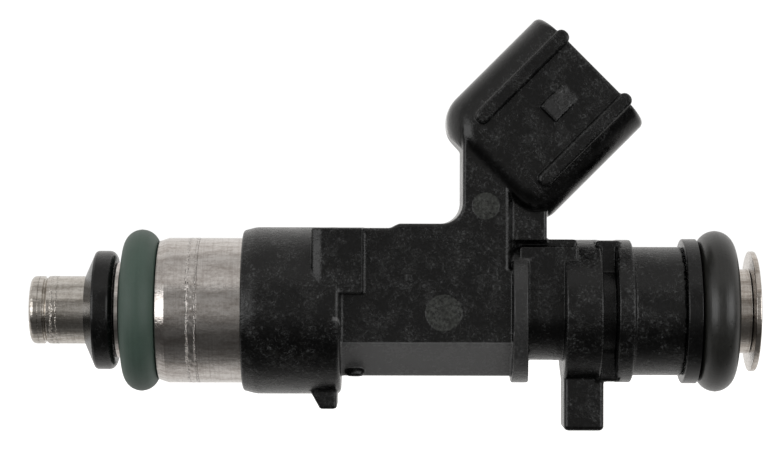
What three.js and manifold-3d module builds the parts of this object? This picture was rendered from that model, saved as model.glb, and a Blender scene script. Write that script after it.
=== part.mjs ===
// A solenoid port fuel injector, built as an assembly of separate named parts, in millimetres.
// +X runs along the injector's axis, from the spray tip to the fuel inlet. +Z is the side that
// carries the electrical connector. The origin is on the axis, at the middle of the lower
// O-ring's seat. The valve is shown closed.
import * as THREE from "three";
import { mergeVertices } from "three/addons/utils/BufferGeometryUtils.js";
import Module from "manifold-3d";

const wasm = await Module();
wasm.setup();

// ---- Driving dimensions -------------------------------------------------------------------

const OUTER_SIDES = 48; // sides of a turned part that shows
const INNER_SIDES = 32; // sides of a turned part that is hidden
const FIT = 0.05; // radial gap between pieces that are pressed or slid together
const SEAM = 0.05; // axial gap between pieces that meet end to end
const SLIVER = 0.003; // edges shorter than this are closed up

// Spray tip and valve sleeve
const TIP_X = -9.95;
const TIP_FACE_R = 2.6;
const TIP_R = 3.07;
const TIP_GROOVE = { from: -8.76, to: -8.35, depth: 0.25 };
const TIP_BORE_R = 2.45;
const SLEEVE_R = 3.6;
const SLEEVE_BORE_R = 3.3;
const SLEEVE_STEP = { from: 2.0, to: 2.5, wall: 0.4 };
const SLEEVE_END_X = 17;

// Valve: ball, seat, needle and armature
const BALL = { x: -6.55, r: 1.35 };
const SEAT = { from: -9.25, to: -5.9, hole: 0.6, guide: 1.45, gap: 0.03 };
const DISC = { from: -9.6, to: -9.3, holes: 4, holeR: 0.16, pitchR: 0.55 };
const NEEDLE = { from: -5.3, to: 6.9, r: 1, bore: 0.65, portX: [-3.6, -1.6], portR: 0.35 };
const ARMATURE = { from: 4, pocket: 7, to: 9.62, r: 3.22 };
const SPRING_BORE_R = 1.75;
const SPRING = { from: 7.05, to: 14.55, meanR: 1.38, wireR: 0.22, turns: 8 };
const ADJUSTER = { from: 14.6, to: 19.6, bore: 1.2, slot: 0.4 };
const CORE = { from: 9.75, to: 20 };

// Magnet housing and coil
const SEAT_R = 4.05; // lower O-ring's seat
const SEAT_LIP = { from: -2.2, to: -1.75, r: 4.33 };
const SHOULDER_X = 1.65;
const HOUSING_R = 6.57;
const HOUSING_CHAMFER = { r: 6.28, to: 2.5 };
const HOUSING_BORE_R = 5.95;
const HOUSING_FLOOR_X = 2.6;
const HOUSING_END_X = 17;
const BOBBIN = { from: 3, to: 14.8, flange: 0.9, tubeR: 4.1, flangeR: 5.85 };
const WINDING_R = 5.6;
const WASHER = { from: 15.2, to: 16.7, slot: 2.6, slotZ: 4.3 };

// Seals and their rings
const LOWER_O_RING = { x: 0, centreR: 5.72, sectionR: 1.6 };
const UPPER_O_RING = { x: 51.95, centreR: 5.58, sectionR: 1.71 };
const LOWER_RING = { from: -5, coneTo: -4.1, coneR: 3.25, r: 5.4, to: -2.25 };
const UPPER_RING = { to: 50.22, r: 6.55 };

// Inlet tube and fuel filter
const INLET_R = 3.82;
const INLET_RIM = { coneFrom: 54.8, coneTo: 55.05, r: 5.45, to: 55.55 };
const FILTER_COLLAR = { from: 52.6, to: 54.6, bore: 2.75 };
const FILTER_CAGE = { from: 43, to: 52.5, r: 2.65, bore: 2.25, ribs: 4, ribWidth: 0.8, band: 0.9 };
const FILTER_SCREEN = { from: 43.95, to: 52.4, r: 2.18, bore: 2.06 };

// Plastic overmould
const COLLAR = { from: 9.24, coneTo: 10.45, faceR: 7.24, r: 7.55, to: 18.1, round: 0.6 };
const PAD = { from: 16, to: 20.1, top: 7.5, bottom: 1.8, halfY: 7.1 };
const PLATE = { from: 17.5, to: 33.05, bottom: -5.8, facetZ: -2.8, halfY: 5.2, ledge: 3.8 };
const PLATE_TOP = { low: 7.5, high: 7.9, rampFrom: 22.5, rampTo: 23.3, intoShell: 1.8 };
const NECK = { left: 28.95, right: 36.55, bottom: 6.4, halfY: 4.3, fillet: 1.85 };
const NECK_TOP = { left: 12.8, right: 9.8 }; // inside the connector's shell
const STOP_RING = { from: 33.45, to: 34.98, r: 6.5 };
const WAIST = { to: 39.3, r: 4.45, top: 5.85, ribTop: 6.49, ribHalfY: 3 };
const CLIP_RING = { from: 38.05, to: 41.45, r: 6.46 };
const CLIP_FLANGE = { from: 42.76, to: 44.3 };
const CLIP_BRIDGE = { halfY: 2.6, top: 6.4, bottom: -6.28 };
const UPPER_BODY = { r: 5.82, to: 48.84 };
const CLIP_TAB = { from: 38.2, to: 41.8, bottom: -10.72, halfY: 2.4, round: 0.35 };
const COLLAR_TAB = { root: 15.4, from: 16.26, to: 17.76, bottom: -8.77, halfY: 2.7, round: 0.3 };
const GATE_BOSS = { x: 19.4, y: 2.75, r: 0.85, top: -5.12, sides: 24 };

// Electrical connector. ALONG is the distance from the origin along the connector's own
// direction, midway between +X and +Z, and ACROSS is measured at right angles to it.
const CONNECTOR = { back: 30.7, mouth: 44.1, across: 13.31 };
const SHELL = { halfAcross: 6.75, halfY: 5.6, corner: 3.6, upperBack: 2.9, lowerBack: 2, wall: 1.25 };
const SOCKET_FLOOR = 35;
const GUIDE_RIB = { inner: 3.28, outer: 4.57, from: 33.4, proudOfMouth: 0.5, height: 0.75 };
const LATCH = { halfAcross: 1, catchFrom: 5.9, rampFrom: 3.05, height: 0.85 };
const BLADE = { halfWidth: 0.75, thickness: 0.8, pitch: 4.4, tip: 40.9, root: 32.6 };
const STRIP = { halfWidth: 0.5, z: 5.1, end: 14.95, nearY: 0.15 };
const CHANNEL_GAP = 0.1; // plastic to terminal, all round

// ---- Helpers ------------------------------------------------------------------------------

const point = (x, y) => new THREE.Vector2(x, y);
const path = (...pairs) => pairs.map(([x, y]) => point(x, y));

// Points along an arc about (x, y), with its angles in degrees.
function arc(x, y, radius, from, to, steps = 4) {
  const points = [];
  for (let i = 0; i <= steps; i++) {
    const angle = THREE.MathUtils.degToRad(from + ((to - from) * i) / steps);
    points.push(point(x + radius * Math.cos(angle), y + radius * Math.sin(angle)));
  }
  return points;
}

// A three.js geometry as a manifold-3d solid, with its shared vertices merged.
function solid(geometry) {
  const bare = geometry.index ? geometry.toNonIndexed() : geometry.clone();
  bare.deleteAttribute("normal");
  bare.deleteAttribute("uv");
  const merged = mergeVertices(bare, 1e-4);
  const index = merged.index.array;
  const kept = [];
  for (let i = 0; i < index.length; i += 3) {
    const [a, b, c] = index.subarray(i, i + 3);
    if (a !== b && b !== c && c !== a) kept.push(a, b, c);
  }
  const vertProperties = merged.attributes.position.array;
  const triVerts = new Uint32Array(kept);
  return new wasm.Manifold(new wasm.Mesh({ numProp: 3, vertProperties, triVerts }));
}

// A manifold-3d solid as a three.js geometry, without the slivers that cutting leaves.
function geometryOf(shape) {
  const { vertProperties, triVerts } = shape.simplify(SLIVER).getMesh();
  const geometry = new THREE.BufferGeometry();
  geometry.setAttribute("position", new THREE.BufferAttribute(vertProperties, 3));
  geometry.setIndex(new THREE.BufferAttribute(triVerts, 1));
  geometry.computeVertexNormals();
  return geometry;
}

// An outline of (x, radius) points turned about the X axis. An outline that doesn't touch the
// axis is closed on itself.
function turned(outline, sides = OUTER_SIDES) {
  const points = outline.map((p) => point(p.y, p.x));
  if (THREE.ShapeUtils.isClockWise(points)) points.reverse();
  const onAxis = points[0].x === 0 && points[points.length - 1].x === 0;
  if (!onAxis) points.push(points[0].clone());
  return solid(new THREE.LatheGeometry(points, sides).rotateZ(-Math.PI / 2));
}

// A plain turned tube, or a solid bar where the bore is 0.
function tube(from, to, radius, bore, sides = OUTER_SIDES) {
  return turned(path([from, bore], [to, bore], [to, radius], [from, radius]), sides);
}

// An outline in the plane of x and z, thickened along Y from one side to the other.
function slab(outline, fromY, toY) {
  const geometry = new THREE.ExtrudeGeometry(new THREE.Shape(outline), {
    depth: toY - fromY,
    bevelEnabled: false,
  });
  return solid(geometry.rotateX(Math.PI / 2).translate(0, toY, 0));
}

// An outline extruded along the third of three axes, from an origin.
function prism(outline, depth, origin, axes) {
  const geometry = new THREE.ExtrudeGeometry(new THREE.Shape(outline), {
    depth,
    bevelEnabled: false,
  });
  const place = new THREE.Matrix4().makeBasis(...axes).setPosition(origin);
  return solid(geometry.applyMatrix4(place));
}

// A box outline with round corners. Four radii are for left bottom, right bottom, right top and
// left top.
function roundedBox(x0, y0, x1, y1, radii, steps = 4) {
  const [lb, rb, rt, lt] = Array.isArray(radii) ? radii : [radii, radii, radii, radii];
  return [
    ...arc(x0 + lb, y0 + lb, lb, 180, 270, steps),
    ...arc(x1 - rb, y0 + rb, rb, 270, 360, steps),
    ...arc(x1 - rt, y1 - rt, rt, 0, 90, steps),
    ...arc(x0 + lt, y1 - lt, lt, 90, 180, steps),
  ];
}

const joined = (...shapes) => shapes.reduce((whole, next) => whole.add(next));

const X = new THREE.Vector3(1, 0, 0);
const Y = new THREE.Vector3(0, 1, 0);
const Z = new THREE.Vector3(0, 0, 1);
const FRONT = Y.clone().negate(); // the side that carries the latch
const ALONG = new THREE.Vector3(1, 0, 1).normalize();
const ACROSS = new THREE.Vector3(1, 0, -1).normalize();

// The place of a point given along and across the connector, and its (x, z).
const placeOf = (along, across, y = 0) =>
  ALONG.clone().multiplyScalar(along).addScaledVector(ACROSS, across).addScaledVector(Y, y);
const flat = (along, across) => {
  const p = placeOf(along, across);
  return point(p.x, p.z);
};

// ---- Materials ----------------------------------------------------------------------------

const STEEL = { color: 0xb9b5b0, roughness: 0.3, metalness: 1 };
const MAGNETIC_STEEL = { color: 0x8e8c8a, roughness: 0.4, metalness: 1 };
const NYLON = { color: 0x1d1d1e, roughness: 0.5, metalness: 0 };
const NATURAL_NYLON = { color: 0xcfc6ae, roughness: 0.5, metalness: 0 };
const GREEN_RUBBER = { color: 0x4a5f55, roughness: 0.6, metalness: 0 };
const BLACK_RUBBER = { color: 0x161616, roughness: 0.6, metalness: 0 };
const COPPER = { color: 0xa8552c, roughness: 0.35, metalness: 1 };
const TINNED = { color: 0xc9c9c6, roughness: 0.3, metalness: 1 };
const BRASS = { color: 0xb8954a, roughness: 0.35, metalness: 1 };

const injector = new THREE.Group();

function piece(name, shape, finish) {
  const mesh = new THREE.Mesh(geometryOf(shape), new THREE.MeshStandardMaterial(finish));
  mesh.name = name;
  injector.add(mesh);
}

// ---- Valve group --------------------------------------------------------------------------

function valveSleeve() {
  const edge = TIP_R - TIP_FACE_R;
  const groove = TIP_GROOVE;
  return turned([
    ...path([TIP_X, TIP_BORE_R]),
    ...arc(TIP_X + edge, TIP_FACE_R, edge, 180, 90),
    ...path(
      [groove.from, TIP_R],
      [groove.from + groove.depth / 2, TIP_R - groove.depth],
      [groove.to, TIP_R],
      [SLEEVE_STEP.from, TIP_R],
      [SLEEVE_STEP.to, SLEEVE_R],
      [SLEEVE_END_X, SLEEVE_R],
      [SLEEVE_END_X, SLEEVE_BORE_R],
      [SLEEVE_STEP.to + SLEEVE_STEP.wall, SLEEVE_BORE_R],
      [SLEEVE_STEP.from + SLEEVE_STEP.wall, TIP_BORE_R],
    ),
  ]);
}

// The seat's cone stands at 45 degrees and all but touches the ball.
function valveSeat() {
  const touchX = BALL.x - (BALL.r + SEAT.gap) * Math.SQRT1_2;
  const touchR = (BALL.r + SEAT.gap) * Math.SQRT1_2;
  const outerR = TIP_BORE_R - FIT;
  return turned(
    path(
      [SEAT.from, SEAT.hole],
      [touchX + SEAT.hole - touchR, SEAT.hole],
      [touchX + SEAT.guide - touchR, SEAT.guide],
      [SEAT.to, SEAT.guide],
      [SEAT.to, outerR],
      [SEAT.from, outerR],
    ),
    INNER_SIDES,
  );
}

function sprayDisc() {
  let disc = tube(DISC.from, DISC.to, TIP_BORE_R - FIT, 0, INNER_SIDES);
  for (let i = 0; i < DISC.holes; i++) {
    const angle = (2 * Math.PI * (i + 0.5)) / DISC.holes;
    const hole = new THREE.CylinderGeometry(DISC.holeR, DISC.holeR, 1, 8);
    hole.rotateZ(Math.PI / 2);
    hole.translate(DISC.from, DISC.pitchR * Math.cos(angle), DISC.pitchR * Math.sin(angle));
    disc = disc.subtract(solid(hole));
  }
  return disc;
}

function valveBall() {
  return solid(new THREE.SphereGeometry(BALL.r, 20, 12).translate(BALL.x, 0, 0));
}

// A tube with two cross holes, through which the fuel leaves it above the ball.
function needleTube() {
  const port = new THREE.CylinderGeometry(NEEDLE.portR, NEEDLE.portR, 4 * NEEDLE.r, 12);
  const across = solid(port.clone().translate(NEEDLE.portX[0], 0, 0));
  const upright = solid(port.rotateX(Math.PI / 2).translate(NEEDLE.portX[1], 0, 0));
  return tube(NEEDLE.from, NEEDLE.to, NEEDLE.r, NEEDLE.bore, INNER_SIDES)
    .subtract(across)
    .subtract(upright);
}

function armature() {
  const bore = NEEDLE.r + FIT;
  return turned(
    path(
      [ARMATURE.from, bore],
      [ARMATURE.pocket, bore],
      [ARMATURE.pocket, SPRING_BORE_R],
      [ARMATURE.to, SPRING_BORE_R],
      [ARMATURE.to, ARMATURE.r],
      [ARMATURE.from, ARMATURE.r],
    ),
    INNER_SIDES,
  );
}

// A round wire along a helix, whose ends lie inside the stated length.
class Helix extends THREE.Curve {
  getPoint(t, target = new THREE.Vector3()) {
    const angle = 2 * Math.PI * SPRING.turns * t;
    const start = SPRING.from + SPRING.wireR * 1.2;
    const length = SPRING.to - SPRING.from - 2.4 * SPRING.wireR;
    const along = start + length * t;
    return target.set(along, SPRING.meanR * Math.sin(angle), SPRING.meanR * Math.cos(angle));
  }
}

function returnSpring() {
  const section = new THREE.Shape(arc(0, 0, SPRING.wireR, 0, 300, 5));
  const wire = new THREE.ExtrudeGeometry(section, {
    steps: SPRING.turns * 10,
    extrudePath: new Helix(),
    bevelEnabled: false,
  });
  return solid(wire);
}

function adjustingSleeve() {
  const slotX = [ADJUSTER.from - 1, ADJUSTER.to + 1];
  const half = ADJUSTER.slot / 2;
  const cut = slab(path([slotX[0], 0], [slotX[1], 0], [slotX[1], 3], [slotX[0], 3]), -half, half);
  const radius = SPRING_BORE_R - FIT;
  return tube(ADJUSTER.from, ADJUSTER.to, radius, ADJUSTER.bore, INNER_SIDES).subtract(cut);
}

function poleCore() {
  return tube(CORE.from, CORE.to, SLEEVE_BORE_R - FIT, SPRING_BORE_R, INNER_SIDES);
}

// ---- Magnet group -------------------------------------------------------------------------

// A steel cup whose nose carries the lower O-ring.
function magnetHousing() {
  const noseBore = TIP_R + FIT;
  const wideBore = SLEEVE_R + FIT;
  return turned(
    path(
      [SEAT_LIP.from, noseBore],
      [SEAT_LIP.from, SEAT_LIP.r],
      [SEAT_LIP.to, SEAT_LIP.r],
      [SEAT_LIP.to, SEAT_R],
      [SHOULDER_X, SEAT_R],
      [SHOULDER_X, HOUSING_CHAMFER.r],
      [HOUSING_CHAMFER.to, HOUSING_R],
      [HOUSING_END_X, HOUSING_R],
      [HOUSING_END_X, HOUSING_BORE_R],
      [HOUSING_FLOOR_X, HOUSING_BORE_R],
      [HOUSING_FLOOR_X, wideBore],
      [SLEEVE_STEP.to, wideBore],
      [SLEEVE_STEP.from - FIT, noseBore],
    ),
  );
}

function coilBobbin() {
  const bore = SLEEVE_R + 2 * FIT;
  const { from, to, flange, tubeR, flangeR } = BOBBIN;
  return turned(
    path(
      [from, bore],
      [to, bore],
      [to, flangeR],
      [to - flange, flangeR],
      [to - flange, tubeR],
      [from + flange, tubeR],
      [from + flange, flangeR],
      [from, flangeR],
    ),
    INNER_SIDES,
  );
}

function coilWinding() {
  const from = BOBBIN.from + BOBBIN.flange + SEAM;
  const to = BOBBIN.to - BOBBIN.flange - SEAM;
  return tube(from, to, WINDING_R, BOBBIN.tubeR + FIT, INNER_SIDES);
}

// The washer closes the magnetic circuit, and is slotted where the terminals pass.
function fluxWasher() {
  const half = WASHER.slot / 2;
  const [x0, x1] = [WASHER.from - 1, WASHER.to + 1];
  const top = HOUSING_R + 1;
  const slotOutline = path([x0, WASHER.slotZ], [x1, WASHER.slotZ], [x1, top], [x0, top]);
  const ring = tube(WASHER.from, WASHER.to, HOUSING_BORE_R - FIT, SLEEVE_R + FIT, INNER_SIDES);
  return ring.subtract(slab(slotOutline, -half, half));
}

// ---- Seals and rings ----------------------------------------------------------------------

function oRing({ x, centreR, sectionR }) {
  const ring = new THREE.TorusGeometry(centreR, sectionR, 10, OUTER_SIDES);
  return solid(ring.rotateY(Math.PI / 2).translate(x, 0, 0));
}

// A plastic ring with a conical nose, which keeps the lower O-ring on its seat.
function lowerRetainingRing() {
  const { from, coneTo, coneR, r, to } = LOWER_RING;
  const bore = TIP_R + FIT;
  const round = 0.45;
  return turned([
    ...path([from, bore], [from, coneR], [coneTo, r - 0.1], [coneTo + 0.15, r]),
    ...arc(to - round, r - round, round, 90, 0),
    ...path([to, bore]),
  ]);
}

function upperSupportRing() {
  const from = UPPER_BODY.to + SEAM;
  const { to, r } = UPPER_RING;
  const bore = INLET_R + FIT;
  const bevel = 0.15;
  return turned(
    path(
      [from, bore],
      [from, r - bevel],
      [from + bevel, r],
      [to - bevel, r],
      [to, r - bevel],
      [to, bore],
    ),
  );
}

// ---- Fuel inlet ---------------------------------------------------------------------------

// The tube's end is flared out into a flat rim.
function inletTube() {
  const { coneFrom, coneTo, r, to } = INLET_RIM;
  const round = 0.15;
  const lead = 0.3;
  return turned([
    ...path([SLEEVE_END_X + 2 * SEAM, INLET_R], [coneFrom, INLET_R], [coneTo, r - round]),
    ...arc(to - round, r - round, round, 90, 0, 2),
    ...path([to, SLEEVE_BORE_R + lead], [to - lead, SLEEVE_BORE_R]),
    ...path([SLEEVE_END_X + 2 * SEAM, SLEEVE_BORE_R]),
  ]);
}

function filterCollar() {
  const { from, to, bore } = FILTER_COLLAR;
  return tube(from, to, SLEEVE_BORE_R - FIT, bore, INNER_SIDES);
}

// A closed-ended basket: two bands joined by ribs.
function filterCage() {
  const { from, to, r, bore, ribs, ribWidth, band } = FILTER_CAGE;
  const floor = from + band;
  let cage = turned(
    path([from, 0], [from, r], [to, r], [to, bore], [floor, bore], [floor, 0]),
    INNER_SIDES,
  );
  const windowWidth = 2 * bore * Math.sin(Math.PI / ribs) - ribWidth;
  for (let i = 0; i < ribs; i++) {
    const window = new THREE.BoxGeometry(to - from - 2 * band, windowWidth, r);
    window.translate((from + to) / 2, 0, r);
    cage = cage.subtract(solid(window.rotateX((2 * Math.PI * i) / ribs)));
  }
  return cage;
}

function filterScreen() {
  const { from, to, r, bore } = FILTER_SCREEN;
  return tube(from, to, r, bore, INNER_SIDES);
}

// ---- Terminals ----------------------------------------------------------------------------

// One stamped terminal: a blade in the connector and a strip that runs down to the coil. side is
// -1 or 1, and grow makes the channel that it lies in.
function terminal(side, grow = 0) {
  const across = CONNECTOR.across + (side * BLADE.pitch) / 2;
  const half = BLADE.halfWidth + grow;
  const bevel = 0.4;
  const blade = slab(
    [
      flat(BLADE.root - grow, across - half),
      flat(BLADE.root - grow, across + half),
      flat(BLADE.tip - bevel, across + half),
      flat(BLADE.tip, across + half - bevel),
      flat(BLADE.tip, across - half + bevel),
      flat(BLADE.tip - bevel, across - half),
    ].reverse(),
    -BLADE.thickness / 2 - grow,
    BLADE.thickness / 2 + grow,
  );
  const root = flat(BLADE.root + BLADE.halfWidth, across);
  const width = STRIP.halfWidth + grow;
  const outline = path(
    [STRIP.end, STRIP.z - width],
    [root.x + width, STRIP.z - width],
    [root.x + width, root.y],
    [root.x - width, root.y],
    [root.x - width, STRIP.z + width],
    [STRIP.end, STRIP.z + width],
  );
  const near = STRIP.nearY - grow;
  const far = STRIP.nearY + BLADE.thickness + grow;
  return blade.add(side < 0 ? slab(outline, near, far) : slab(outline, -far, -near));
}

// ---- Plastic overmould --------------------------------------------------------------------

function collar() {
  const { from, coneTo, faceR, r, to, round } = COLLAR;
  const edge = 0.25;
  return turned([
    ...path([from, 0]),
    ...arc(from + edge, faceR - edge, edge, 180, 104, 2),
    ...path([coneTo, r]),
    ...arc(to - round, r - round, round, 90, 0),
    ...path([to, 0]),
  ]);
}

// The block across the collar's end, with a flat pad on each side.
function pads() {
  const { from, to, top, bottom, halfY } = PAD;
  return slab(path([from, bottom], [to, bottom], [to, top], [from, top]), -halfY, halfY);
}

const insideRing = (STOP_RING.from + STOP_RING.to) / 2;

// The flat middle of the body and the left half of the neck, faceted along its lower edges. Its
// full width runs into the stop ring below a ledge.
function plate() {
  const { from, to, bottom, facetZ, halfY, ledge } = PLATE;
  const { low, high, rampFrom, rampTo } = PLATE_TOP;
  const insideShell = CONNECTOR.back + PLATE_TOP.intoShell;
  const onLine = (x) => insideShell * Math.SQRT2 - x;
  const { left, fillet } = NECK;
  const outline = [
    ...path([from, bottom], [insideRing, bottom], [insideRing, ledge], [to, ledge]),
    ...path([to, onLine(to)], [left, onLine(left)]),
    ...arc(left - fillet, high + fillet, fillet, 0, -90, 6),
    ...path([rampTo, high], [rampFrom, low], [from, low]),
  ];
  const facet = facetZ - bottom;
  const top = CONNECTOR.back; // above everything that the section cuts
  const section = path(
    [-halfY, top],
    [-halfY, facetZ],
    [facet - halfY, bottom],
    [halfY - facet, bottom],
    [halfY, facetZ],
    [halfY, top],
  );
  const length = prism(section, insideRing - from, X.clone().multiplyScalar(from), [Y, Z, X]);
  return slab(outline, -halfY, halfY).intersect(length);
}

function neck() {
  const { right, bottom, halfY } = NECK;
  const outline = path(
    [PLATE.to - 1, PLATE.ledge - 1],
    [insideRing, PLATE.ledge - 1],
    [insideRing, bottom],
    [right, bottom],
    [right, NECK_TOP.right],
    [PLATE.to, NECK_TOP.left],
    [PLATE.to - 1, NECK_TOP.left],
  );
  return slab(outline, -halfY, halfY);
}

// The waist between the stop ring and the clip ring: a half-round bar with upright sides and a
// rib along its top.
function waist() {
  const { to, r, top, ribTop, ribHalfY } = WAIST;
  const section = [...arc(0, 0, r, 180, 360, 20), ...path([r, top], [-r, top])];
  const origin = X.clone().multiplyScalar(insideRing);
  const bar = prism(section, to - insideRing, origin, [Y, Z, X]);
  const ribOutline = path([insideRing, 0], [to, 0], [to, ribTop], [insideRing, ribTop]);
  const rib = slab(ribOutline, -ribHalfY, ribHalfY);
  return bar.add(rib);
}

// The ring, groove and flange that the retaining clip slides over.
function clipSeat() {
  const { halfY, top, bottom } = CLIP_BRIDGE;
  const [x0, x1] = [CLIP_RING.to - 0.5, CLIP_FLANGE.from + 0.5];
  return joined(
    tube(CLIP_RING.from, CLIP_RING.to, CLIP_RING.r, 0),
    tube(x0, x1, WAIST.r, 0),
    slab(path([x0, bottom], [x1, bottom], [x1, top], [x0, top]), -halfY, halfY),
    tube(CLIP_FLANGE.from, CLIP_FLANGE.to, CLIP_RING.r, 0),
    tube(CLIP_FLANGE.to - 0.5, UPPER_BODY.to, UPPER_BODY.r, 0),
  );
}

function clipTab() {
  const { from, to, bottom, halfY, round } = CLIP_TAB;
  return slab(roundedBox(from, bottom, to, 1 - WAIST.r, [round, round, 0, 0], 2), -halfY, halfY);
}

function collarTab() {
  const { root, from, to, bottom, halfY, round } = COLLAR_TAB;
  const rise = COLLAR.faceR;
  const outline = [
    ...path([root, -rise], [from, bottom]),
    ...arc(to - round, bottom + round, round, 270, 360, 3),
    ...path([to, -rise]),
  ];
  return slab(outline, -halfY, halfY);
}

function gateBoss() {
  const { x, y, r, top, sides } = GATE_BOSS;
  const outline = arc(0, 0, r, 0, 360 - 360 / sides, sides - 1);
  const height = top - PLATE.bottom;
  return prism(outline, height, new THREE.Vector3(x, -y, PLATE.bottom), [X, Y, Z]);
}

// The connector's shell before its socket is cut, round at the corners seen from any side.
function connectorShell() {
  const { halfAcross, halfY, corner, upperBack, lowerBack } = SHELL;
  const { back, mouth, across } = CONNECTOR;
  const section = roundedBox(-halfAcross, -halfY, halfAcross, halfY, corner, 6);
  const body = prism(section, mouth - back, placeOf(back, across), [ACROSS, Y, ALONG]);
  const radii = [lowerBack, 0, 0, upperBack];
  const side = roundedBox(0, -halfAcross, mouth - back, halfAcross, radii);
  const origin = placeOf(back, across, halfY);
  const inward = ACROSS.clone().negate();
  return body.intersect(prism(side, 2 * halfY, origin, [ALONG, inward, FRONT]));
}

function guideRibs() {
  const { inner, outer, from, proudOfMouth, height } = GUIDE_RIB;
  const { mouth, across } = CONNECTOR;
  const length = mouth + proudOfMouth - from;
  const outline = roundedBox(0, 0, length, outer - inner, (outer - inner) / 2 - 0.05);
  const depth = height + 1.2;
  const startY = -(SHELL.halfY + height) + depth;
  const rib = (edge) =>
    prism(outline, depth, placeOf(from, edge, startY), [ALONG, ACROSS.clone().negate(), FRONT]);
  return rib(across + outer).add(rib(across - inner));
}

// A ramp that rises away from the mouth, and a catch face at its back.
function latch() {
  const { halfAcross, catchFrom, rampFrom, height } = LATCH;
  const { mouth, across } = CONNECTOR;
  const root = 0.6;
  const outline = path(
    [0, 0],
    [catchFrom - rampFrom, 0],
    [catchFrom - rampFrom, root],
    [0, root + height],
  );
  const origin = placeOf(mouth - catchFrom, across - halfAcross, root - SHELL.halfY);
  return prism(outline, 2 * halfAcross, origin, [ALONG, FRONT, ACROSS]);
}

function socket() {
  const { halfAcross, halfY, corner, wall } = SHELL;
  const [a, y] = [halfAcross - wall, halfY - wall];
  const outline = roundedBox(-a, -y, a, y, corner - wall, 5);
  const origin = placeOf(SOCKET_FLOOR, CONNECTOR.across);
  return prism(outline, CONNECTOR.mouth - SOCKET_FLOOR + 1, origin, [ACROSS, Y, ALONG]);
}

function overmould() {
  const outside = joined(
    collar(),
    pads(),
    plate(),
    neck(),
    tube(STOP_RING.from, STOP_RING.to, STOP_RING.r, 0),
    waist(),
    clipSeat(),
    clipTab(),
    collarTab(),
    gateBoss(),
    connectorShell(),
    guideRibs(),
    latch(),
  );
  const housingBore = HOUSING_R + 0.08;
  return outside
    .subtract(tube(COLLAR.from - 1, HOUSING_END_X + 0.25, housingBore, 0))
    .subtract(tube(HOUSING_END_X, UPPER_BODY.to + 1, INLET_R + 0.08, 0))
    .subtract(terminal(-1, CHANNEL_GAP))
    .subtract(terminal(1, CHANNEL_GAP))
    .subtract(socket());
}

// ---- Assembly -----------------------------------------------------------------------------

piece("body_overmould", overmould(), NYLON);
piece("magnet_housing", magnetHousing(), STEEL);
piece("valve_sleeve", valveSleeve(), STEEL);
piece("lower_retaining_ring", lowerRetainingRing(), NYLON);
piece("lower_o_ring", oRing(LOWER_O_RING), GREEN_RUBBER);
piece("spray_disc", sprayDisc(), STEEL);
piece("valve_seat", valveSeat(), STEEL);
piece("valve_ball", valveBall(), STEEL);
piece("needle_tube", needleTube(), STEEL);
piece("armature", armature(), MAGNETIC_STEEL);
piece("return_spring", returnSpring(), STEEL);
piece("adjusting_sleeve", adjustingSleeve(), MAGNETIC_STEEL);
piece("pole_core", poleCore(), MAGNETIC_STEEL);
piece("coil_bobbin", coilBobbin(), NATURAL_NYLON);
piece("coil_winding", coilWinding(), COPPER);
piece("flux_washer", fluxWasher(), MAGNETIC_STEEL);
piece("inlet_tube", inletTube(), STEEL);
piece("filter_collar", filterCollar(), BRASS);
piece("filter_cage", filterCage(), NATURAL_NYLON);
piece("filter_screen", filterScreen(), STEEL);
piece("upper_support_ring", upperSupportRing(), NYLON);
piece("upper_o_ring", oRing(UPPER_O_RING), BLACK_RUBBER);
piece("terminal_left", terminal(-1), TINNED);
piece("terminal_right", terminal(1), TINNED);

export default injector;
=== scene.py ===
"""Solenoid port fuel injector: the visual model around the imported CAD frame.

Shapes are given in millimetres, in the CAD model's own frame, and become metres as meshes are made.
"""

import math
from types import SimpleNamespace as Sizes

import bpy
import numpy as np
from mathutils import Euler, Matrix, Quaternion, Vector


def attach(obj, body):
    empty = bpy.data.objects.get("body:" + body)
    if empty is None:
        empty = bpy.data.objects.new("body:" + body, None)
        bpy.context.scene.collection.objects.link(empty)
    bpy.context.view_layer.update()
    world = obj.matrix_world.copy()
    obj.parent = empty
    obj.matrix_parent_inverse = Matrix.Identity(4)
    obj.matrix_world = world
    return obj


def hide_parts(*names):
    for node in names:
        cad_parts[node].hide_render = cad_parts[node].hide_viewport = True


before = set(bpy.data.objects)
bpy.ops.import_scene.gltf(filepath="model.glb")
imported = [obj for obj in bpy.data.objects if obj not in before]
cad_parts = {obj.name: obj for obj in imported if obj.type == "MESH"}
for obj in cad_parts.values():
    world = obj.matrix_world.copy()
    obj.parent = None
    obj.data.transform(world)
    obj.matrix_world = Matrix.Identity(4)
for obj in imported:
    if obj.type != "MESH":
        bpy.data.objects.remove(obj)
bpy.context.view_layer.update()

MM = 0.001
HALF_ROOT = math.sqrt(0.5)
INJECTOR = "injector_body"
CREASE_DEGREES = 40  # sharper edges than this stay sharp


# ---- Meshes -------------------------------------------------------------------------------


def add_piece(name, points, faces, replaced, material, normals=None):
    """A mesh piece from points in millimetres, which stands for a CAD node and rides with it."""
    mesh = bpy.data.meshes.new(name)
    mesh.from_pydata((np.asarray(points) * MM).tolist(), [], np.asarray(faces).tolist())
    mesh.validate()
    mesh.polygons.foreach_set("use_smooth", [True] * len(mesh.polygons))
    if normals is None:
        mesh.set_sharp_from_angle(angle=math.radians(CREASE_DEGREES))
    else:
        mesh.normals_split_custom_set_from_vertices(normals.tolist())
    mesh.materials.append(material)
    piece = bpy.data.objects.new(name, mesh)
    bpy.context.scene.collection.objects.link(piece)
    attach(piece, INJECTOR)
    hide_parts(replaced)
    return piece


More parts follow.
